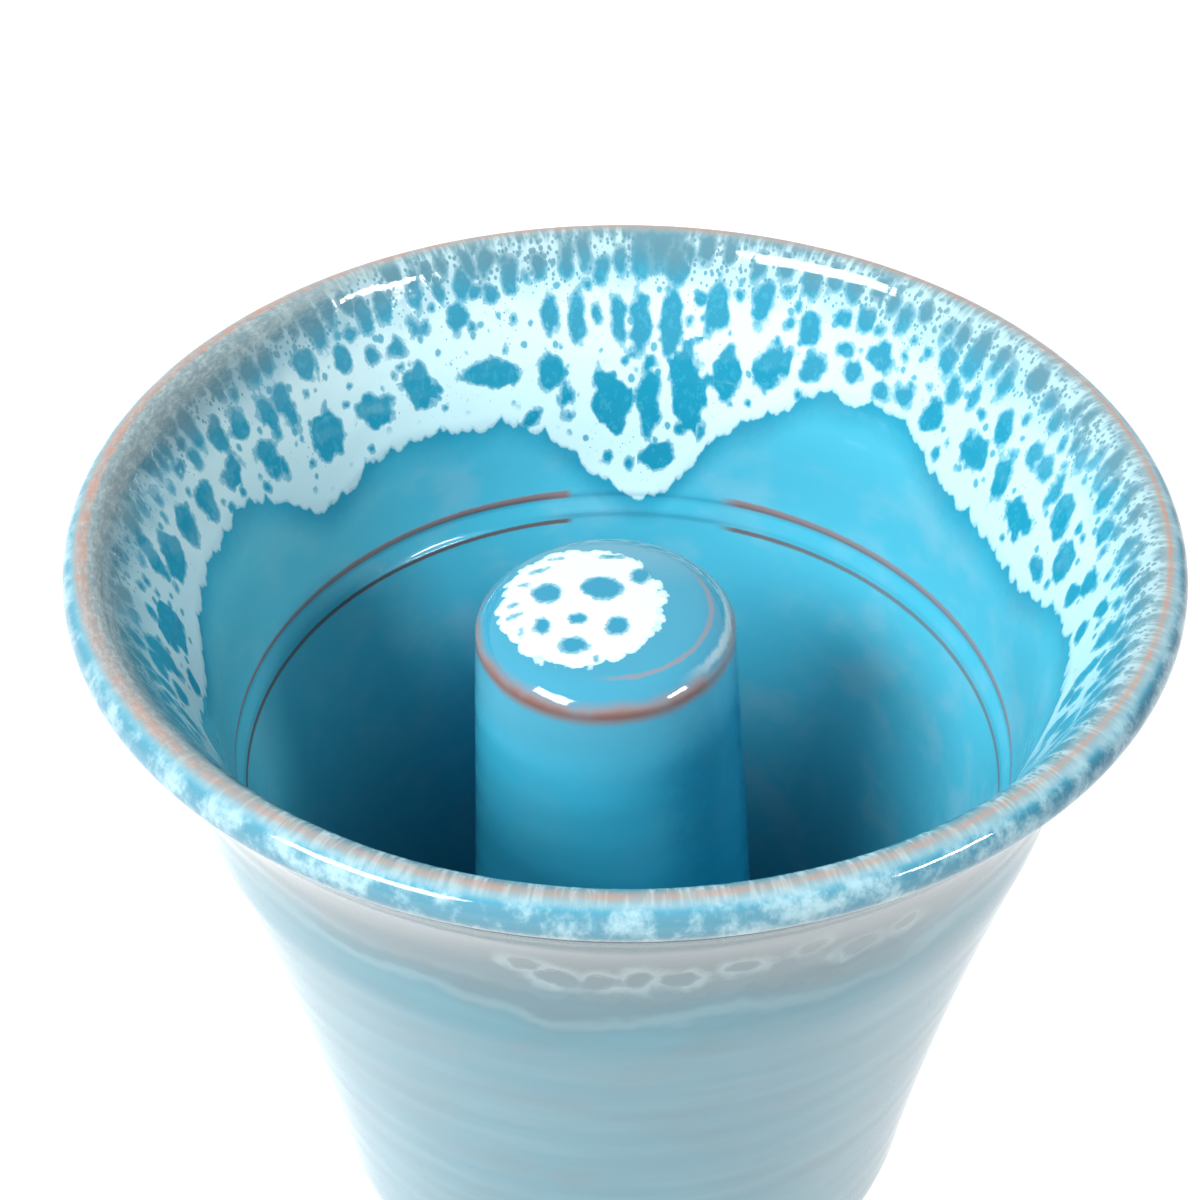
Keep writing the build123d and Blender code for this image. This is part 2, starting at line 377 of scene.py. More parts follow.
# Each face carries the places of its two nearest windows, as the distance from each one's
# middle in half widths and half heights. Inside a face these change evenly, so the shader
# finds a window's rim far more sharply than the faces could.
rows = len(run)
next_run = np.append(run[1:], run[0])
face_angle = degrees[None, :] + 180 / columns
face_run = ((run + next_run) / 2)[:, None]
near = np.full((2, rows, columns, 4, 3), 9.0)
banded = (np.abs(face_run[:, 0]) < 31) & (np.abs(next_run - run) < 5)
picked = np.nonzero(banded)[0]


def window_place(angle, distance, chosen):
    """Where a point lies in a window: steps from its middle in half widths and half heights."""
    across = np.radians((angle - window_at[chosen] + 180) % 360 - 180) * middle_round
    down = -distance - window_deep[chosen]
    lean = np.radians(window_lean[chosen])
    side = (across * np.cos(lean) - down * np.sin(lean)) / window_wide[chosen]
    tall = (across * np.sin(lean) + down * np.cos(lean)) / window_tall[chosen]
    return side, tall


everyone = np.arange(len(windows))
side, tall = window_place(
    face_angle[:, :, None], face_run[picked][:, :, None], everyone[None, None, :]
)
spread = (np.hypot(side, tall) - 1) * np.minimum(window_wide, window_tall)
nearest = np.argsort(spread, -1)[..., :2]
corner_angle = np.stack([degrees, degrees + 360 / columns, degrees + 360 / columns, degrees], -1)
corner_run = np.stack([run, run, next_run, next_run], -1)
for order in range(2):
    chosen = nearest[..., order][..., None]
    side, tall = window_place(corner_angle[None], corner_run[picked][:, None], chosen)
    size = np.minimum(window_wide, window_tall)[chosen] + 0 * side
    near[order, picked] = np.stack([side, tall, size], -1)
mark(cup, "window", "FLOAT_VECTOR", "CORNER", near[0])
mark(cup, "next_window", "FLOAT_VECTOR", "CORNER", near[1])


class Wire:
    """A value on its way through a shader. Sums on it add the Math nodes that do them."""

    def __init__(self, finish, socket):
        self.finish, self.socket = finish, socket

    def sum(self, operation, first, second=0.0):
        return self.finish.node("ShaderNodeMath", {"operation": operation}, {0: first, 1: second})

    def __add__(self, other):
        return self.sum("ADD", self, other)

    def __sub__(self, other):
        return self.sum("SUBTRACT", self, other)

    def __rsub__(self, other):
        return self.sum("SUBTRACT", other, self)

    def __mul__(self, other):
        return self.sum("MULTIPLY", self, other)

    def __truediv__(self, other):
        return self.sum("DIVIDE", self, other)

    def __abs__(self):
        return self.sum("ABSOLUTE", self)

    def __neg__(self):
        return self.sum("MULTIPLY", self, -1.0)

    def most(self, other):
        return self.sum("MAXIMUM", self, other)

    def least(self, other):
        return self.sum("MINIMUM", self, other)

    __radd__, __rmul__ = __add__, __mul__


class Finish:
    """A material in the making."""

    def __init__(self, name):
        self.material = bpy.data.materials.new(name)
        self.material.use_nodes = True
        self.tree = self.material.node_tree
        self.tree.nodes.clear()

    def node(self, kind, settings, sockets, output=0):
        """Adds one node: its settings first, then a value or a wire for each socket named."""
        made = self.tree.nodes.new(kind)
        for name, value in settings.items():
            setattr(made, name, value)
        for name, value in sockets.items():
            if isinstance(value, Wire):
                self.tree.links.new(value.socket, made.inputs[name])
            else:
                made.inputs[name].default_value = value
        return Wire(self, made.outputs[output])

    def step(self, value, low, high):
        """0 at low and 1 at high, eased between them. Low may be the larger."""
        if low > high:
            return 1 - self.step(value, high, low)
        sockets = {"Value": value, "From Min": low, "From Max": high}
        return self.node("ShaderNodeMapRange", {"interpolation_type": "SMOOTHSTEP"}, sockets)

    def stretched(self, vector, x, y, z):
        """A vector with each part multiplied."""
        return self.node("ShaderNodeVectorMath", {"operation": "MULTIPLY"}, {0: vector, 1: (x, y, z)})

    def noise(self, vector, scale, detail=2.0, rough=0.5):
        """Soft random cloud round 0.5."""
        sockets = {"Vector": vector, "Scale": scale, "Detail": detail, "Roughness": rough}
        return self.node("ShaderNodeTexNoise", {}, sockets)

    def cells(self, vector, scale, feature="F1", output="Distance"):
        """Random cells: the distance to a cell's middle or its edge, or its chance colour."""
        sockets = {"Vector": vector, "Scale": scale}
        return self.node("ShaderNodeTexVoronoi", {"feature": feature}, sockets, output)

    def blend(self, share, under, over):
        """One colour laid over another by a share."""
        settings = {"data_type": "RGBA", "clamp_factor": True}
        return self.node("ShaderNodeMix", settings, {0: share, 6: under, 7: over}, 2)

    def part(self, vector, axis):
        """One part of a vector: X, Y or Z."""
        return self.node("ShaderNodeSeparateXYZ", {}, {0: vector}, axis)

    def surface(self, colour, rough, relief, specular=0.5):
        """The finished surface. Relief is a height in mm."""
        sockets = {"Height": relief, "Distance": MM, "Strength": 1.0}
        bump = self.node("ShaderNodeBump", {}, sockets)
        sockets = {"Base Color": colour, "Roughness": rough, "Normal": bump, "Specular IOR Level": specular}
        body = self.node("ShaderNodeBsdfPrincipled", {}, sockets)
        self.finish(body)

    def finish(self, body):
        """Joins a shader to the material's output."""
        end = self.tree.nodes.new("ShaderNodeOutputMaterial")
        self.tree.links.new(body.socket, end.inputs["Surface"])


def tone(red, green, blue):
    """A colour from its display values, 0 to 255."""
    linear = [(part / 255) ** 2.2 for part in (red, green, blue)]
    return (*linear, 1.0)


turquoise, deep_turquoise, pale_turquoise = tone(80, 182, 208), tone(32, 142, 172), tone(134, 190, 208)
pooled_and_painted_shade_turquoise, left_turquoise = tone(8, 104, 134), tone(104, 182, 190)
white_glaze, left_white, right_white = tone(211, 241, 244), tone(204, 229, 232), tone(190, 232, 239)
grey_haze, left_haze, left_veil = tone(92, 132, 144), tone(84, 122, 134), tone(112, 138, 144)
outside_blue, outside_pale, outside_haze = tone(79, 137, 154), tone(110, 160, 174), tone(96, 114, 121)
lip_blue, lip_deep, under_lip_painted_shade = tone(86, 140, 160), tone(30, 94, 122), tone(74, 100, 110)
lip_grey, fleck_white, fine_white = tone(172, 178, 175), tone(206, 210, 205), tone(186, 212, 220)
red_clay, thin_glaze = tone(172, 96, 66), tone(186, 130, 104)
line_brown, line_dark, line_depth = tone(156, 112, 104), tone(110, 86, 80), 27.5

glaze = Finish("reactive_glaze")
spot = glaze.node("ShaderNodeAttribute", {"attribute_name": "place"}, {}, "Vector")
drips = glaze.node("ShaderNodeAttribute", {"attribute_name": "drip"}, {}, "Fac")
sideways, backward, along = (glaze.part(spot, axis) for axis in "XYZ")
depth = abs(along)
outside = glaze.step(along, 2.6, 4.4)
to_left, to_right, to_front = (
    glaze.step(sideways, -17, -34), glaze.step(sideways, 8, 34), glaze.step(backward, 12, -30)
)
ragged = glaze.noise(glaze.stretched(spot, 1, 1, 0.75), 1.25, 2.0, 0.75) - 0.5
cloud = glaze.noise(glaze.stretched(spot, 1, 1, 1.6), 0.11, 3.0, 0.55)
patch = glaze.noise(glaze.stretched(spot, 1, 1, 0.35), 0.3, 2.0)
warp = glaze.noise(glaze.stretched(spot, 1, 1, 0.8), 0.55, 1.5) - 0.5

# windows: each is cut back where its neighbour comes near, which leaves a strand between them
within = []
for name in ("window", "next_window"):
    steps = glaze.node("ShaderNodeAttribute", {"attribute_name": name}, {}, "Vector")
    flat = glaze.stretched(steps, 1, 1, 0)
    away = glaze.node("ShaderNodeVectorMath", {"operation": "LENGTH"}, {0: flat}, "Value")
    size = glaze.part(steps, "Z")
    within.append(((1 - away) * size, size))
(first, first_size), (second, _) = within
high_up = glaze.step(depth, 7.0, 4.0)
apart = (first.most(second) + 0.2 + high_up * 0.1).least(abs(first - second) * 0.5 - 0.03)
opening = apart + ragged * (0.8 - high_up * 0.35) + warp * (first_size + 0.25) * 1.5
window = glaze.step(opening, -0.08, 0.1) * 0.6 + glaze.step(opening, 0.06, 0.42) * 0.4

# the white glaze ends in rounded lobes, of two sizes
lobe = glaze.cells(glaze.stretched(spot, 1, 1, 0.16), 0.55)
small_lobe = glaze.cells(glaze.stretched(spot, 1, 1, 0.3), 1.15)
edge = drips + 0.7 - lobe * lobe * 1.7 - small_lobe * small_lobe * 0.7 + ragged * 0.7
white = glaze.step(edge, -0.08, 0.12) * 0.6 + glaze.step(edge, 0.1, 0.5) * 0.4

# it is pierced by pinholes, in clusters low down and all over near the rim
rimward = glaze.step(depth + (patch - 0.5) * 7.0, 9.5, 3.0)
near_rim = glaze.step(depth + (patch - 0.5) * 4.0, 8.0, 4.0)
bubble = glaze.cells(glaze.stretched(spot, 1, 1, 0.68), 2.3)
larger = glaze.cells(glaze.stretched(spot, 1, 1, 0.8), 0.62)
bubble_round = glaze.step(patch, 0.46, 0.62) * 0.13 + near_rim * 0.31
pinhole = glaze.step(bubble + ragged * 0.25 - bubble_round, 0.1, -0.06)
pinhole = pinhole.most(glaze.step(larger + ragged * 0.3, 0.26, 0.14)) * glaze.step(drips, 1.4, 3.0)

# over the crest it is drawn out into thin strands, and it left a bare gap at the back
strands = glaze.noise(glaze.stretched(spot, 1, 1, 0.12), 1.8, 2.0, 0.65)
drawn = glaze.step(depth + (strands - 0.5) * 3.0 + to_right * 0.5, 2.4, 0.7)
web = (1 - pinhole * 0.85) * (1 - drawn) + glaze.step(strands, 0.44, 0.66) * 0.6 * drawn
web = white * (1 - window) * web * (1 - near_rim * 0.24 - rimward * (0.06 + to_left * 0.4))
gap_side = glaze.step(abs(sideways - 2.85 + ragged), 2.8, 2.2) * glaze.step(backward, 0, 5)
web = web * (1 - gap_side * glaze.step(depth + ragged * 2.0, 5.6, 4.8) * 0.9)

# outside it is thin, and shows most as a pale ring round each window
rim = glaze.step(opening, -1.25, -0.1) * (1 - window)
chain = glaze.step(cloud, 0.44, 0.62).most(to_front * 0.9) * (0.09 + glaze.step(patch, 0.4, 0.6) * 0.16)
thin_web = white * (0.03 + rim * (0.03 + chain) * glaze.step(depth, 10, 14))
web = web * (1 - outside) + thin_web * outside
runnel = glaze.noise(glaze.stretched(spot, 1, 1, 0.8), 0.5, 4.0, 0.66)
lip_web = glaze.step(runnel + to_right * 0.04, 0.43, 0.7) * (1 - outside) * 0.54
over = glaze.step(along, -0.2, 0.8)
web = web * (1 - over * (1 - outside)) + lip_web * over

# the turquoise under it is deeper along the white and in the windows, and darker low down: partly where it pooled,
# partly painted shade
halo = glaze.step(drips + ragged * 1.0 + (cloud - 0.5) * 3.0, -4.0, 0.4)
band = glaze.step(along, line_runs[3] - 0.2, line_runs[3] + 0.2)
band = band * glaze.step(along, line_runs[0] + 0.2, line_runs[0] - 0.2)
body = glaze.blend(glaze.step(cloud, 0.44, 0.7) * 0.45, turquoise, pale_turquoise)
body = glaze.blend(to_left * 0.5, body, left_turquoise)
# darker towards the bottom of the inside: partly glaze pooled thicker, partly painted shade
body = glaze.blend(glaze.step(along, line_runs[3] - 2.0, -66) * 0.6, body, pooled_and_painted_shade_turquoise)
speckle = glaze.step(ragged, 0.02, 0.2) * 0.35
deeper = (halo * 0.74).most(band * 0.15).most(window * white * (0.95 - speckle))
body = glaze.blend(deeper, body, deep_turquoise)
haze = glaze.step(depth + ragged * 2.0 - (patch - 0.5) * 4.0 - to_left * 1.5, 6.5, 1.6)
haze_tone = glaze.blend(to_left, grey_haze, left_haze)
body = glaze.blend(haze * glaze.step(along, 0.4, -0.4) * 0.85, body, haze_tone)
lip_side = glaze.step(along, 0.3, 1.2)
body = glaze.blend(lip_side * (1 - to_right) * 0.9, body, lip_blue)
body = glaze.blend(lip_side * to_right * 0.8, body, lip_deep)
outer = glaze.blend(glaze.step(cloud, 0.42, 0.7) * 0.25, outside_blue, outside_haze)
thrown = glaze.noise(glaze.stretched(spot, 0.14, 0.14, 1.0), 0.4, 1.0, 0.5)
outer = glaze.blend(glaze.step(thrown, 0.4, 0.8) * 0.3, outer, outside_pale)
shallow = drips + (cloud - 0.5) * 6.0 + (patch - 0.5) * 1.6
outer = glaze.blend(glaze.step(shallow, -5.5, 5.5) * 0.95, outer, outside_haze)
outer = glaze.blend(glaze.step(abs(shallow + 2.6), 1.5, 0.1) * 0.1, outer, white_glaze)
body = glaze.blend(outside, body, outer)
white_here = glaze.blend(to_right, glaze.blend(to_left, white_glaze, left_white), right_white)
white_here = glaze.blend(near_rim * (1 - outside) * 0.4, white_here, fine_white)
body = glaze.blend(web, body, white_here)

# red clay shows through where the glaze ran thin: on the crest and the edges of the line
veil = glaze.step(depth + ragged - to_left * 2.2, 1.5, 0.3) * (0.45 + to_left * 0.1)
flecks = glaze.noise(glaze.stretched(spot, 0.6, 0.6, 1.4), 1.9, 4.0, 0.75)
flecks = glaze.step(flecks, 0.4, 0.7) * to_left * glaze.step(depth + ragged * 2.0, 5.0, 1.8)
veil_tone = glaze.blend(to_left * 0.6, lip_grey, left_veil)
body = glaze.blend(veil * glaze.step(along, 0.9, 0.2), body, veil_tone)
body = glaze.blend(flecks * glaze.step(along, 0.4, -0.2) * 0.42, body, fleck_white)
# painted shade: a soft dark band just under the overhang of the lip
body = glaze.blend(glaze.step(abs(along - 4.6), 1.2, 0.2) * 0.5, body, under_lip_painted_shade)
worn = abs(along + 0.1 + to_front * 0.35 + ragged * 0.5) + to_right * 0.14 - to_left * 0.2
worn = glaze.step(worn, 0.55, 0.1)
worn = worn * (0.45 + to_right * 0.25 + glaze.step(runnel, 0.56, 0.4) * 0.4) * (0.8 - to_front * 0.28)
body = glaze.blend(worn, body, thin_glaze)
run_near = drips + depth - line_depth + sideways.most(-11.5).least(11.5) * 0.2
faded = glaze.step(run_near, -5.0, -6.6)
thick = glaze.step(sideways, -37, -24) * 0.17
upper = glaze.step(abs(along - line_runs[0] + 0.1 + ragged * 0.18) - thick, 0.5, 0.14)
lower = glaze.step(abs(along - line_runs[3] + 0.2 + ragged * 0.12), 0.36, 0.12)
body = glaze.blend(upper * faded * (0.86 - to_right * 0.2), body, line_brown)
body = glaze.blend(lower * faded * (0.92 - to_right * 0.25), body, line_dark)

# the glaze ends in a wavering line above the foot, thin and brown at its edge
shore = glaze.noise(glaze.stretched(spot, 1, 1, 0.1), 0.15, 2.0) * 3.2 + ragged * 0.5 + along - foot_run
bare = glaze.step(shore, 0.0, 0.2)
body = glaze.blend(glaze.step(shore, -1.6, -0.1) * 0.75, body, thin_glaze)
clay_spot = glaze.stretched(glaze.node("ShaderNodeTexCoord", {}, {}, "Object"), 1 / MM, 1 / MM, 1 / MM)
grain, flame = glaze.noise(clay_spot, 3.0, 4.0, 0.65), glaze.noise(clay_spot, 0.13, 3.0, 0.55)
clay = glaze.blend(glaze.step(grain, 0.35, 0.7), red_clay, tone(150, 80, 55))
clay = glaze.blend(glaze.step(flame, 0.42, 0.66) * 0.5, clay, tone(178, 122, 92))
colour = glaze.blend(bare, body, clay)
rough = 0.07 + bare * 0.62 + web * 0.05
relief = (glaze.noise(spot, 0.35, 2.0) - 0.5) * (0.05 - outside * 0.035)
relief = relief - window * 0.012 * (1 - outside) + bare * (grain * 0.12 - 0.1)
glaze.surface(colour, rough, relief)
cup.data.materials.append(glaze.material)
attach(cup, "root")
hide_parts("cup_body")


# The column: thrown hollow and closed at the top like a bottle, then luted to the floor.
# Its rounded crown caught a splash of the white glaze, and the glaze is thin on its shoulder.
column_foot, column_top, column_side = 15.0, 11.05, 77.3
column_wall, hollow_top = 3.0, 75.1
inlet_radius, inlet_level = 3.2, 17.0
edge_level, edge_round, edge_lean = 76.3, 0.9, math.radians(55)
roll_round, roll_lean = 4.0, math.radians(4.5)
side_way = np.array([column_top - column_foot, column_side - floor_level])
side_way /= math.hypot(*side_way)


def leaning(angle):
    """The way out of a surface that leans by an angle from level, in the section."""
    return np.array([math.sin(angle), math.cos(angle)])


def round_to(centre, radius, first, last, count):
    """Points of a round edge between two leans of its surface."""
    return np.array([centre + radius * leaning(lean) for lean in np.linspace(first, last, count)])


# the crown: a low dome, a broad roll at its edge, then a tight turn down into the side
side_lean = math.atan2(side_way[1], -side_way[0])
edge_end = np.array([column_foot + side_way[0] / side_way[1] * (edge_level - floor_level), edge_level])
edge_centre = edge_end - edge_round * leaning(side_lean)
roll_centre = edge_centre + (edge_round - roll_round) * leaning(edge_lean)
roll_start = roll_centre + roll_round * leaning(roll_lean)
dome_round = roll_start[0] / math.sin(roll_lean)
dome_centre = np.array([0, roll_start[1] - dome_round * math.cos(roll_lean)])
foot_outer = np.array([column_foot, floor_level])
foot_inner = foot_outer - (column_wall, 0)
hollow_head = np.array([column_top - column_wall, hollow_top])
column_section = joined(
    round_to(dome_centre, dome_round, 0, roll_lean, 14),
    round_to(roll_centre, roll_round, roll_lean, edge_lean, 16),
    round_to(edge_centre, edge_round, edge_lean, side_lean, 8),
    straight(edge_end, foot_outer, 70),
    straight(foot_outer, foot_inner, 3),
    straight(foot_inner, hollow_head - (0, 2.5), 30),
    straight(hollow_head - (0, 2.5), hollow_head - (2.5, 0), 4),
    straight(hollow_head - (2.5, 0), (0, hollow_top), 5),
)
column_columns = 200
column_turn = np.linspace(-math.pi, math.pi, column_columns, endpoint=False)
column_level = np.repeat(column_section[:, 1:2], column_columns, 1)
column_rings = 0.02 * np.sin(column_level * 1.5 + column_turn[None, :])
column_rings *= eased(column_section[:, :1], 9, 11) * eased(76.0 - column_level, 0, 3)
column_radius = column_section[:, :1] + column_rings
east_grid, north_grid = column_radius * np.sin(column_turn), column_radius * np.cos(column_turn)

# The potter's hands left the column a little crooked: it sways by 0.4 mm on its way up, in one
# slow wave, and its crown dips to the left and to the front.
sway, sway_length, dip_left, dip_front = 0.4, 103.0, 0.018, 0.023
wave = (column_level - floor_level) * 2 * math.pi / sway_length
dip = (dip_left * east_grid + dip_front * north_grid) * eased(column_level, 50, 75)
column_grid = np.stack(
    [east_grid + column_offset + sway * np.sin(wave), north_grid, column_level + dip], -1
) * MM
column = skin("siphon_column_thrown", column_grid, closed_loop=False)

drill_turn = np.linspace(-math.pi, math.pi, 48, endpoint=False)
drill_reach = np.array([6.0, 6.0, 20.0, 20.0])[:, None]
drill_radius = np.array([0.0, inlet_radius, inlet_radius, 0.0])[:, None]
drill_grid = np.stack([
    drill_reach + 0 * drill_turn,
    drill_radius * np.sin(drill_turn),
    inlet_level + drill_radius * np.cos(drill_turn),
], -1) * MM
drill = skin("inlet_drill", drill_grid, closed_loop=False)
cut = column.modifiers.new("inlet", "BOOLEAN")
cut.object, cut.operation, cut.solver = drill, "DIFFERENCE", "EXACT"
bpy.context.view_layer.update()
pierced = bpy.data.meshes.new_from_object(column.evaluated_get(bpy.context.evaluated_depsgraph_get()))
column.modifiers.clear()
column.data = pierced
bpy.data.objects.remove(drill)

# windows of the crown's white patch: (mm right, mm back, half width, half depth, lean)
crown_windows = [
    (-5.3, 1.7, 1.35, 1.35, 0), (-0.6, 2.25, 1.85, 1.6, -10), (2.7, 3.9, 1.0, 1.1, -30),
    (-5.55, -2.35, 0.8, 1.1, 0), (-2.55, -1.65, 0.9, 0.8, 0), (0.7, -2.6, 1.1, 1.25, 0),
    (-2.9, -4.8, 1.4, 1.05, 0), (0.2, 6.6, 1.05, 0.35, 0), (-4.5, 6.5, 0.8, 0.3, 8),
    (-6.3, 4.8, 0.9, 0.32, 25), (-7.3, 3.0, 0.5, 0.35, 20), (-7.9, -1.0, 0.8, 0.28, 30),
    (-7.3, -2.9, 0.3, 0.65, 0), (-8.0, 0.4, 0.5, 0.2, 30), (-1.0, -6.6, 0.3, 0.4, 0),
]
splash = Finish("column_glaze")
point = splash.node("ShaderNodeTexCoord", {}, {}, "Object")
point = splash.stretched(point, 1 / MM, 1 / MM, 1 / MM)
right, back = splash.part(point, "X") - column_offset, splash.part(point, "Y")
height = splash.part(point, "Z") - right * dip_left - back * dip_front
uneven = splash.noise(point, 1.1, 2.0, 0.6) - 0.5
tint = splash.noise(point, 0.16, 3.0, 0.55)
column_body = splash.blend(splash.step(tint, 0.45, 0.75) * 0.2, tone(64, 172, 202), tone(112, 172, 192))
# painted light: the column's side is made lighter lower down, standing in for light that reaches down it
column_body = splash.blend(splash.step(height, 70, 48) * 0.7, column_body, tone(74, 206, 234))
# painted shade: the right side of the column is darker, away from the main light
column_body = splash.blend(splash.step(right + uneven * 2.0, 3.0, 9.5) * 0.6, column_body, tone(4, 120, 150))
column_body = splash.blend(splash.step(height, 67, 76) * 0.35, column_body, tone(122, 176, 194))


def oval(finish, right, back, middle, half, lean=0.0):
    """1 in the middle of an oval on the crown, falling through 0 at its rim."""
    turned, tilted = math.cos(math.radians(lean)), math.sin(math.radians(lean))
    side, deep = right - middle[0], back - middle[1]
    long = (side * turned + deep * tilted) / half[0]
    short = (deep * turned - side * tilted) / half[1]
    squared = long * long + short * short
    return 1 - finish.node("ShaderNodeMath", {"operation": "SQRT"}, {0: squared})


puddle = oval(splash, right, back, (-2.4, 0.2), (7.1, 7.6), 0) * 7.0
frill = splash.cells(point, 0.8)
splashed = puddle + 0.35 - frill * frill * 1.1 + uneven * 1.0
splashed = splash.step(splashed, -0.08, 0.1) * 0.65 + splash.step(splashed, 0.08, 0.45) * 0.35
splashed = splashed * splash.step(height, 74.5, 76)
gaps = None
for east, north, wide, deep, lean in crown_windows:
    hole = oval(splash, right, back, (east, north), (wide, deep), lean) * min(wide, deep)
    gaps = hole if gaps is None else gaps.most(hole)
gap = splash.step(gaps + uneven * 0.9, -0.08, 0.1) * 0.65 + splash.step(gaps + uneven * 0.9, 0.05, 0.4) * 0.35
splashed = splashed * (1 - gap)
crown_mask = splash.step(height, 75.2, 77.0)
column_body = splash.blend(crown_mask * 0.8, column_body, tone(48, 140, 170))
column_body = splash.blend(crown_mask * splash.step(back, 2, 8) * 0.4, column_body, tone(124, 166, 180))
column_body = splash.blend(gap * crown_mask * 0.8, column_body, tone(30, 136, 170))

# a ridge the thrower's finger left, spiralling out over the right of the crown, and its echo
flat = splash.node("ShaderNodeCombineXYZ", {}, {"X": right, "Y": back})
out = splash.node("ShaderNodeVectorMath", {"operation": "LENGTH"}, {0: flat}, "Value")
ridge = splash.step(abs(out - 8.6 + uneven * 0.4), 0.3, 0.08) * crown_mask
ridge = ridge * splash.step(right - back * 0.55, 3.0, 7.0)
echo = splash.step(abs(out - 10.1 + uneven * 0.5), 0.45, 0.1) * splash.step(right + back * 0.4, 2.0, 8.0)
column_body = splash.blend(echo * 0.55, column_body, tone(205, 216, 216))
column_body = splash.blend(ridge * 0.6, column_body, tone(150, 128, 128))
column_body = splash.blend(splashed, column_body, white_glaze)
wobble = splash.noise(point, 0.32, 2.0) - 0.5
ring_level = height - 76.4 + wobble * 0.7
ring = splash.step(abs(ring_level), 1.2, 0.25) * (0.84 - splash.step(wobble, 0.0, 0.2) * 0.2)
column_colour = splash.blend(ring, column_body, tone(148, 122, 117))
core = splash.step(abs(ring_level), 0.6, 0.05) * splash.step(back, 2, -9)
column_colour = splash.blend(core * (0.35 + splash.step(wobble, 0.1, -0.1) * 0.35), column_colour, tone(136, 88, 74))
column_relief = splashed * 0.08 + (splash.noise(point, 0.35, 2.0) - 0.5) * 0.05
splash.surface(column_colour, 0.07 + splashed * 0.05, column_relief)
column.data.materials.append(splash.material)
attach(column, "root")
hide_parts("siphon_column")


# The riser: a clay standpipe inside the column. Its lip stands level with the line, and its
# lower end opens into the recess of the foot. It is left unglazed.
riser_round, riser_bore, riser_foot, riser_head = 4.65, 2.75, 4.0, 65.2
riser_section = joined(
    straight((riser_bore, riser_foot), (riser_bore, riser_head - 0.6), 40),
    straight((riser_bore, riser_head - 0.6), (riser_bore + 0.6, riser_head), 3),
    straight((riser_bore + 0.6, riser_head), (riser_round - 0.6, riser_head), 3),
    straight((riser_round - 0.6, riser_head), (riser_round, riser_head - 0.6), 3),
    straight((riser_round, riser_head - 0.6), (riser_round, riser_foot), 40),
    straight((riser_round, riser_foot), (riser_bore, riser_foot), 4),
)[:-1]
riser_turn = np.linspace(-math.pi, math.pi, 72, endpoint=False)
riser_grid = np.stack([
    riser_section[:, :1] * np.sin(riser_turn) + column_offset,
    riser_section[:, :1] * np.cos(riser_turn),
    np.repeat(riser_section[:, 1:2], 72, 1),
], -1) * MM
riser = skin("riser_pipe", riser_grid)
fired = Finish("fired_red_clay")
point = fired.stretched(fired.node("ShaderNodeTexCoord", {}, {}, "Object"), 1 / MM, 1 / MM, 1 / MM)
speck = fired.noise(point, 3.2, 4.0, 0.65)
patchy = fired.noise(point, 0.25, 3.0)
fired_colour = fired.blend(fired.step(speck, 0.38, 0.72), red_clay, tone(146, 78, 54))
fired_colour = fired.blend(fired.step(patchy, 0.4, 0.7) * 0.5, fired_colour, tone(190, 122, 92))
fired.surface(fired_colour, 0.62 + speck * 0.2, speck * 0.14, 0.3)
riser.data.materials.append(fired.material)
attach(riser, "root")
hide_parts("riser_tube")


# The three coils that seal the joints: a roll of soft clay laid in each corner and pressed
# down with a fingertip, which left a row of shallow dents round it.
def pressed_coil(name, inner, base, width, rise, dents):
    """A coil round the column's axis, pressed into the corner between a wall and a floor.

    Its section is a quarter of an oval, width across and rise high, from the wall's foot. The
    fingertip lowers it by a twelfth, dents times round. Rise is negative under a floor.
    """
    round_turn = np.linspace(-math.pi, math.pi, 160, endpoint=False)
    lift = np.linspace(0, math.pi / 2, 14)[:, None]
    press = 1 - 0.085 * np.cos(dents * round_turn + 0.7 * np.sin(3 * round_turn)) ** 2
    reach_out = inner + width * np.cos(lift) ** 1.15 * press * 0.99
    high = base + rise * np.sin(lift) ** 1.15 * press * 0.99
    closing = np.linspace(1, 0, 5)[1:-1, None] * rise
    reach_out = np.concatenate([reach_out, np.full((4, 160), inner)])
    high = np.concatenate([high, base + closing * (1 + 0 * round_turn), np.full((1, 160), base)])
    grid = np.stack(
        [reach_out * np.sin(round_turn) + column_offset, reach_out * np.cos(round_turn), high], -1
    ) * MM
    return skin(name, grid)


coils = [
    ("column_coil_pressed", "column_luting_coil", 15.05, floor_level, 2.6, 2.8, 17, splash, "column_glaze"),
    ("riser_coil_pressed", "riser_luting_coil", riser_round, floor_level, 2.6, 3.0, 8, fired, "fired_clay"),
    ("drain_coil_pressed", "drain_luting_coil", riser_round, recess_level, 2.4, -1.2, 8, fired, "fired_clay"),
]
for name, node, inner, base, width, rise, dents, finish, slot in coils:
    coil = pressed_coil(name, inner, base, width, rise, dents)
    coil.data.materials.append(finish.material)
    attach(coil, "root")
    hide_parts(node)


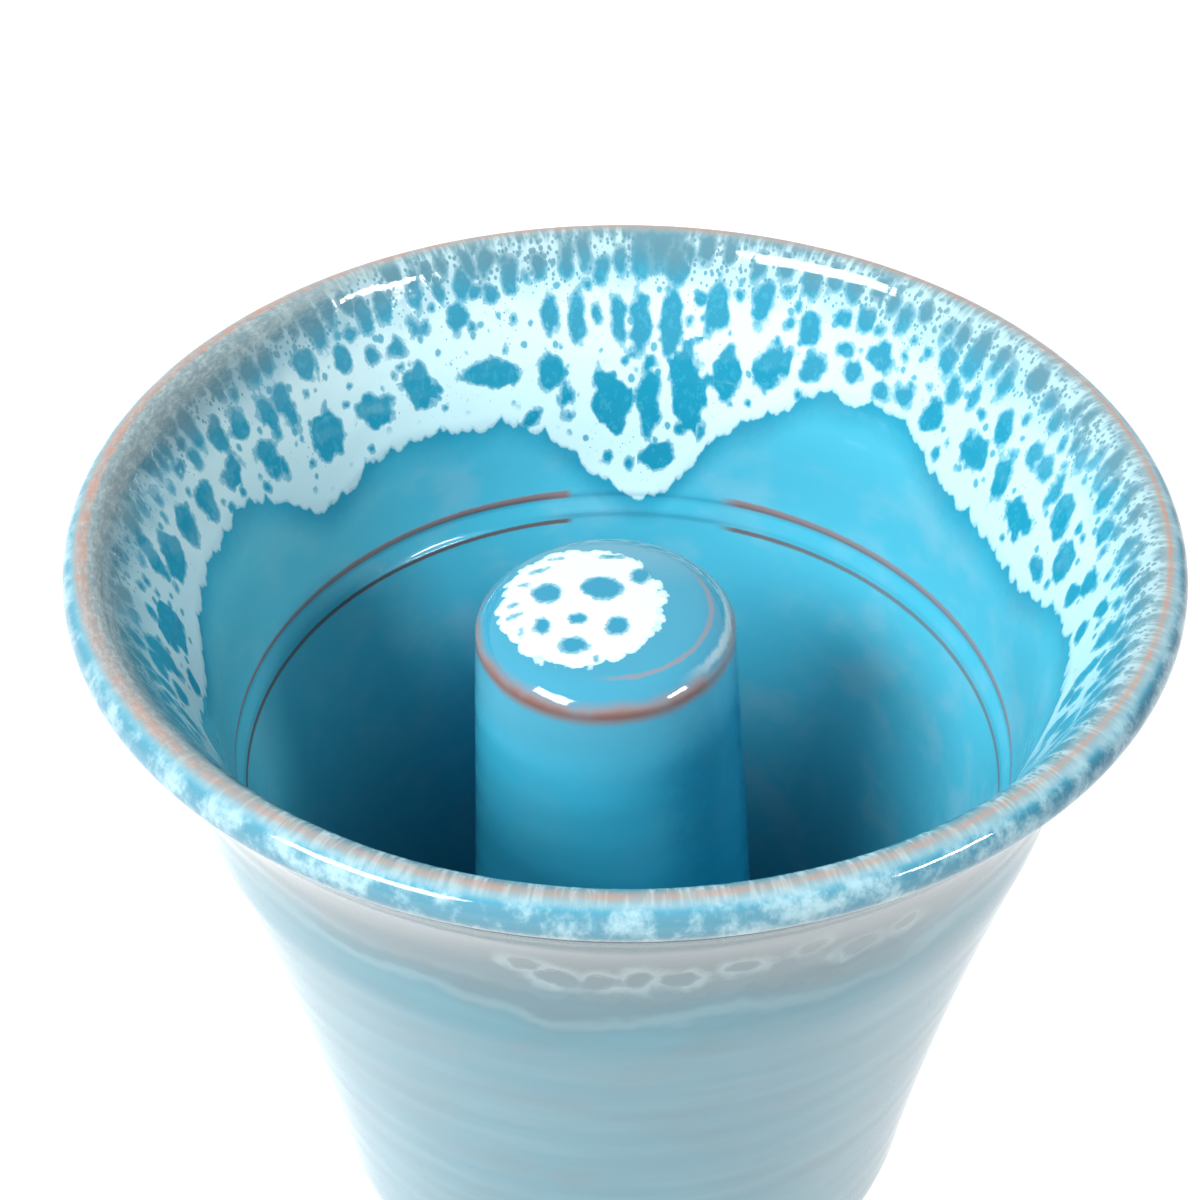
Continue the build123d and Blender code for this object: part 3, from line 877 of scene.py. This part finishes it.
# The table the cup stands on: a plain white sheet that runs far out on every side.
sheet_half = 6.0
sheet_mesh = bpy.data.meshes.new("table")
sheet_corners = [(x * sheet_half, y * sheet_half, -0.0002) for x, y in ((-1, -1), (1, -1), (1, 1), (-1, 1))]
sheet_mesh.from_pydata(sheet_corners, [], [(0, 1, 2, 3)])
table = bpy.data.objects.new("table", sheet_mesh)
bpy.context.scene.collection.objects.link(table)
paper = Finish("white_table")
rays = [paper.node("ShaderNodeLightPath", {}, {}, name) for name in
        ("Is Camera Ray", "Is Glossy Ray", "Is Transmission Ray")]
seen = rays[0].most(rays[1]).most(rays[2])
plain = paper.node("ShaderNodeBsdfDiffuse", {}, {"Color": tone(205, 205, 205)})
glow = paper.node("ShaderNodeEmission", {}, {"Color": (1, 1, 1, 1), "Strength": seen * 0.78})
paper.finish(paper.node("ShaderNodeAddShader", {}, {0: plain, 1: glow}))
sheet_mesh.materials.append(paper.material)

# Light: a soft pale room, a broad lamp at the front left and a narrower one at the front right.
world = bpy.data.worlds.new("pale_room")
bpy.context.scene.world = world
world.use_nodes = True
room = Finish.__new__(Finish)
room.tree = world.node_tree
room.tree.nodes.clear()
rays = [room.node("ShaderNodeLightPath", {}, {}, name) for name in
        ("Is Camera Ray", "Is Glossy Ray", "Is Transmission Ray")]
seen = rays[0].most(rays[1]).most(rays[2])
sky = room.node("ShaderNodeBackground", {}, {"Color": (1, 1, 1, 1), "Strength": 0.3 + seen * 0.7})
world_end = room.tree.nodes.new("ShaderNodeOutputWorld")
room.tree.links.new(sky.socket, world_end.inputs["Surface"])


def lamp(name, bearing, elevation, distance, width, height, power):
    """A soft box turned towards the cup. The bearing is counted from the back to the right."""
    light = bpy.data.lights.new(name, "AREA")
    light.shape, light.size, light.size_y, light.energy = "RECTANGLE", width, height, power
    holder = bpy.data.objects.new(name, light)
    way = Vector((
        math.sin(math.radians(bearing)) * math.cos(math.radians(elevation)),
        math.cos(math.radians(bearing)) * math.cos(math.radians(elevation)),
        math.sin(math.radians(elevation)),
    ))
    holder.location = Vector((0, 0, 0.08)) + way * distance
    holder.rotation_euler = way.to_track_quat("Z", "Y").to_euler()
    bpy.context.scene.collection.objects.link(holder)
    return holder


lamp("left_lamp", -130, 40, 0.9, 0.46, 0.23, 8.4)
lamp("right_lamp", 120, 29, 0.9, 0.24, 0.11, 3.0)
fill = lamp("left_fill", -98, 50, 1.3, 1.1, 0.9, 9.5)
fill.visible_glossy = False

# The camera looks down into the cup from the front.
eye = bpy.data.cameras.new("camera")
eye.sensor_width, eye.lens, eye.clip_start = 36.0, 64.9, 0.01
camera = bpy.data.objects.new("camera", eye)
pitch, yaw, roll = (math.radians(angle) for angle in (39.87, -0.81, -0.115))
facing = Matrix.Rotation(-yaw, 4, "Z") @ Matrix.Rotation(math.pi / 2 - pitch, 4, "X") @ Matrix.Rotation(roll, 4, "Z")
camera.matrix_world = Matrix.Translation((0, -0.13971, 0.19601)) @ facing
bpy.context.scene.collection.objects.link(camera)
bpy.context.scene.camera = camera
bpy.context.scene.view_settings.view_transform = "Standard"
